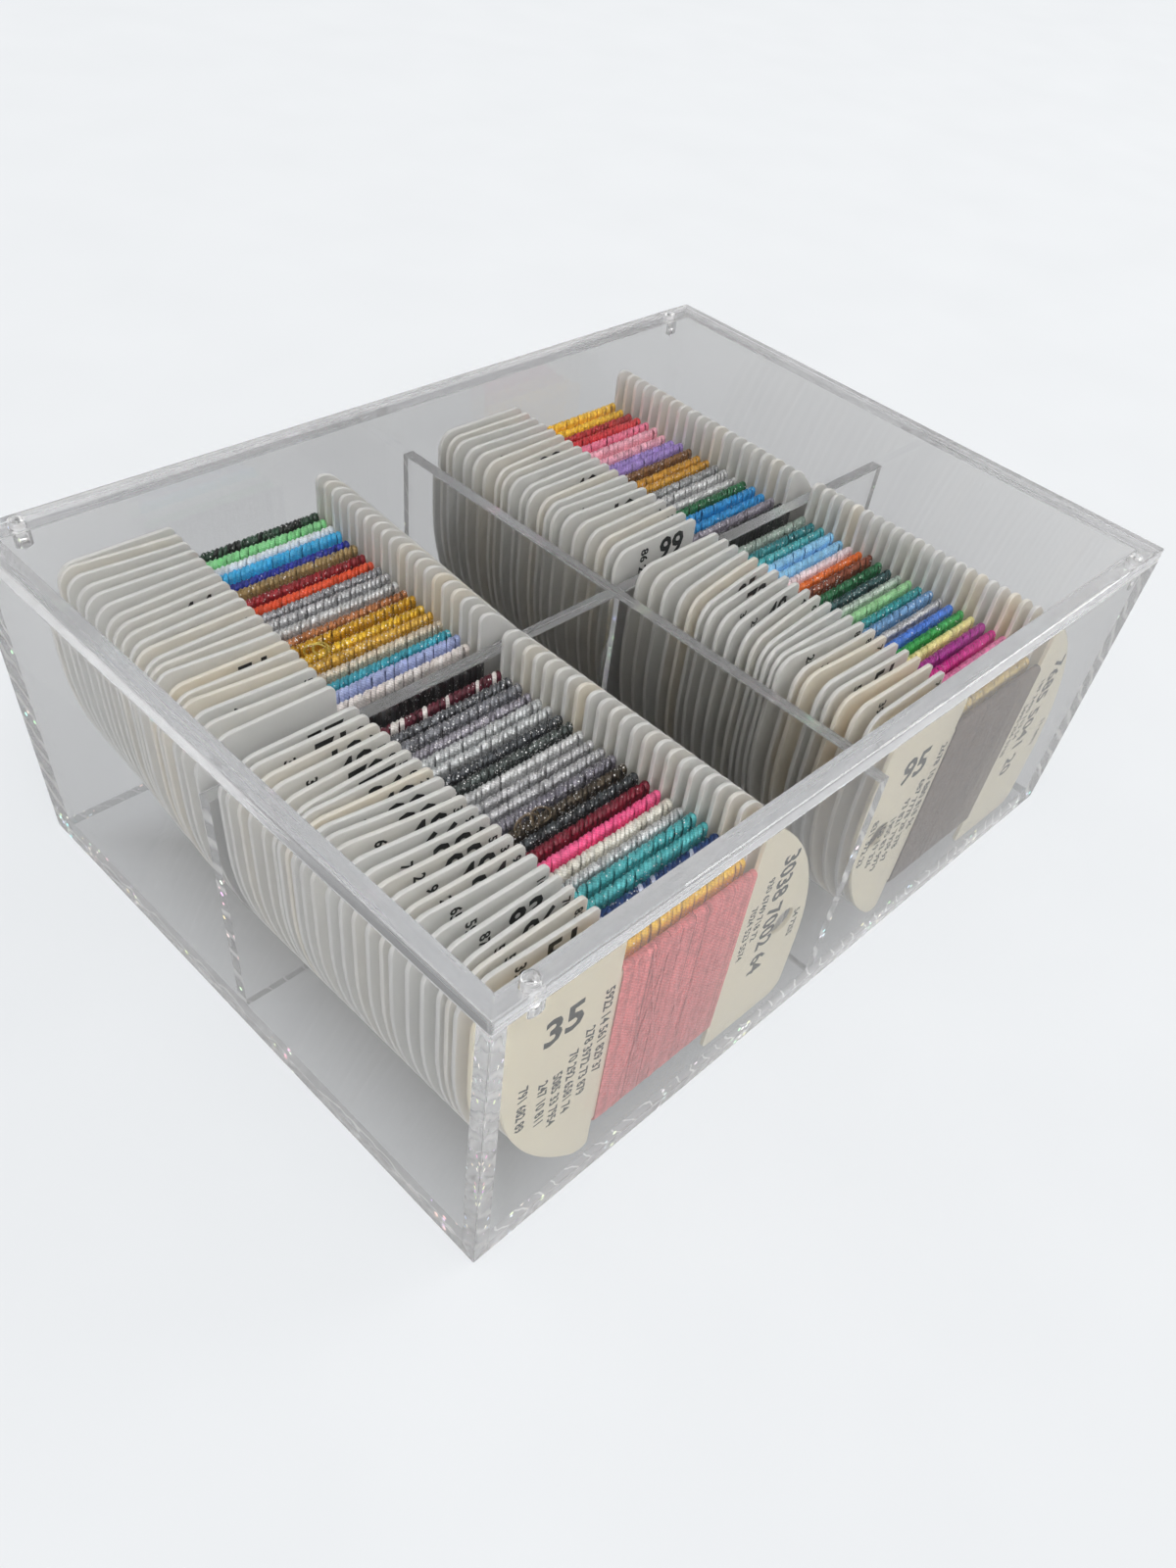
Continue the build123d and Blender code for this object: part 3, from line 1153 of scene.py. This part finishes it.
def fill_row(row, bodies, blanks, templates, core):
    """One row of cards and thread, a piece for each group that moves by itself."""
    words, hole_end = ROWS[row]
    names = words.split()[::-1]
    chance = np.random.default_rng(sum(map(ord, row)))
    groups = sum(body.startswith(f"{row}_group_") for body in bodies)
    bounds = [len(names) * group // groups for group in range(groups + 1)]
    bows = lobe_bows(len(names), chance)
    printing = PRINTED.get(row, OTHERS_PRINTED)
    margin = Vector((WINDING_LENGTH, WINDING_THICKNESS, 0)) / 2
    for group, (first, last) in enumerate(zip(bounds, bounds[1:]), start=1):
        low, high = corners_of(f"{row}_threads_{group}")
        start, end = low + margin, high - margin
        start.z = end.z = sum(corner.z for corner in corners_of(f"{row}_cards_{group}")) / 2
        cards, threads = [], []
        for index in range(first, last):
            centre = np.array(start.lerp(end, (index - first) / (last - first - 1)))
            foremost = index == 0 and row.endswith("front")
            tone = 1.0 if foremost else CREAM * chance.random() ** CREAM_CURVE
            cards.append(stand_card(blanks[hole_end], centre, chance, bows[index], tone, foremost, printing))
            threads += wound_card(names[index], templates, core, centre, chance)
        card_piece = join(f"{row}_cards_{group}_dressed", cards)
        thread_piece = join(f"{row}_threads_{group}_dressed", threads)
        cover(thread_piece, [THREAD_FINISH])
        smooth(thread_piece, 60)
        ride(card_piece, f"{row}_group_{group}", f"{row}_cards_{group}")
        ride(thread_piece, f"{row}_group_{group}", f"{row}_threads_{group}")


def ride(piece, body, node):
    """Let the piece stand for its solid and move with its body."""
    piece.name = piece.data.name = f"{node}_dressed"
    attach(piece, body)
    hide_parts(node)


# The stage --------------------------------------------------------------------------------------------


def studio_sky():
    """Soft light from above and from a wide window in front, with a dark patch of ceiling."""
    look = Look("studio", bpy.data.worlds)
    way = look.node("ShaderNodeTexCoord", output=0)
    height = look.node("ShaderNodeSeparateXYZ", {}, {0: way}, 2)
    brightest = max(level for _, level in SKY)
    stops = [((rise + 1) / 2, (level / brightest,) * 3 + (1,)) for rise, level in SKY]
    levels = look.node("ShaderNodeValToRGB", {"stops": stops}, {"Fac": look.spread(height, -1.0, 1.0)})
    ceiling = look.spread(look.towards(way, DARK_CEILING), 0.8, 0.9, brightest, DARK_SHARE * brightest)
    window = look.spread(look.towards(way, WINDOW), 0.35, 1.0, 0.0, WINDOW_LEVEL)
    strength = levels * ceiling + window
    light = look.node("ShaderNodeBackground", {}, {"Color": WHITE, "Strength": strength})
    end = look.tree.nodes.new("ShaderNodeOutputWorld")
    look.tree.links.new(light.socket, end.inputs["Surface"])
    return look.material


def set_stage():
    """A pale floor just under the box, the sky, and a soft lamp to the right and above."""
    put_down()
    bpy.ops.mesh.primitive_plane_add(size=TABLETOP_SIDE, location=(0, 0, -TABLETOP_DROP * MM))
    ground = settle(bpy.context.object, "tabletop")
    cover(ground, [pale_floor()])
    ground.visible_glossy = False

    bpy.ops.object.light_add(type="AREA", location=LAMP_PLACE)
    lamp = bpy.context.object
    lamp.name = "soft_light"
    lamp.data.shape = "DISK"
    lamp.data.size = 0.7
    lamp.data.energy = 7
    lamp.rotation_euler = (Vector(LAMP_AIM) - lamp.location).to_track_quat("-Z", "Y").to_euler()

    bpy.context.scene.world = studio_sky()
    bpy.context.scene.view_settings.view_transform = "Standard"
    # light crosses many clear faces, and runs round inside the sheets' edges
    cycles = bpy.context.scene.cycles
    cycles.max_bounces = 40
    cycles.diffuse_bounces = 16
    cycles.glossy_bounces = 40
    cycles.transmission_bounces = 40
    cycles.transparent_max_bounces = 40


def set_camera():
    """The camera, where the photograph was taken from."""
    bpy.ops.object.camera_add()
    camera = bpy.context.object
    camera.name = "camera"
    right, up = Vector(CAMERA_RIGHT), Vector(CAMERA_UP)
    turn = Matrix((right, up, right.cross(up))).transposed().to_4x4()
    camera.matrix_world = Matrix.Translation(Vector(CAMERA_PLACE) * MM) @ turn
    camera.data.sensor_fit = "VERTICAL"
    camera.data.sensor_height = FILM_HEIGHT
    camera.data.lens = CAMERA_LENS
    camera.data.shift_x, camera.data.shift_y = CAMERA_SHIFT
    camera.data.clip_start = 0.01
    bpy.context.scene.camera = camera


# The scene itself ---------------------------------------------------------------------------------------


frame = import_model()

# the grey tint of the polished sheets is painted shade, lighter on the dividers
CLEAR_FINISHES = [
    polished_acrylic("polished_acrylic", 0.852),
    sawn_acrylic("sawn_lengthwise", (0.015, 0.7, 0.7)),
    sawn_acrylic("sawn_crosswise", (0.7, 0.015, 0.7)),
    glued_acrylic("glued_mitre", 0.2, 0.5),
    glued_acrylic("glued_foot", 0.94, 0.6),
]
DIVIDER_FINISHES = [polished_acrylic("polished_divider", 0.95)] + CLEAR_FINISHES[1:]
CARD_FINISHES = [card_stock(), print_ink()]
THREAD_FINISH = wound_thread()

floor_top = corners_of("floor_panel")[1].z
divider_top = corners_of("cross_divider")[1].z
for node in ("front_wall", "back_wall", "left_wall", "right_wall"):
    ride(make_wall(node, CLEAR_FINISHES, floor_top, divider_top), "box", node)
ride(make_floor(CLEAR_FINISHES), "box", "floor_panel")
for node in ("lengthwise_divider", "cross_divider"):
    ride(make_divider(node, DIVIDER_FINISHES), "box", node)
ride(make_lid(CLEAR_FINISHES), "lid", "lid_panel")
for node in PINS:
    ride(make_pin(node, CLEAR_FINISHES), "lid", node)

blanks = {end: card_blank(end) for end in (-1, 1)}
templates = {kind: wound_turns(*sizes) for kind, sizes in KINDS.items()}
core = thread_core()
for row in ROWS:
    fill_row(row, frame["bodies"], blanks, templates, core)
for spare in (*blanks.values(), *(turns for turns, _ in templates.values()), core):
    bpy.data.objects.remove(spare)

set_stage()
set_camera()
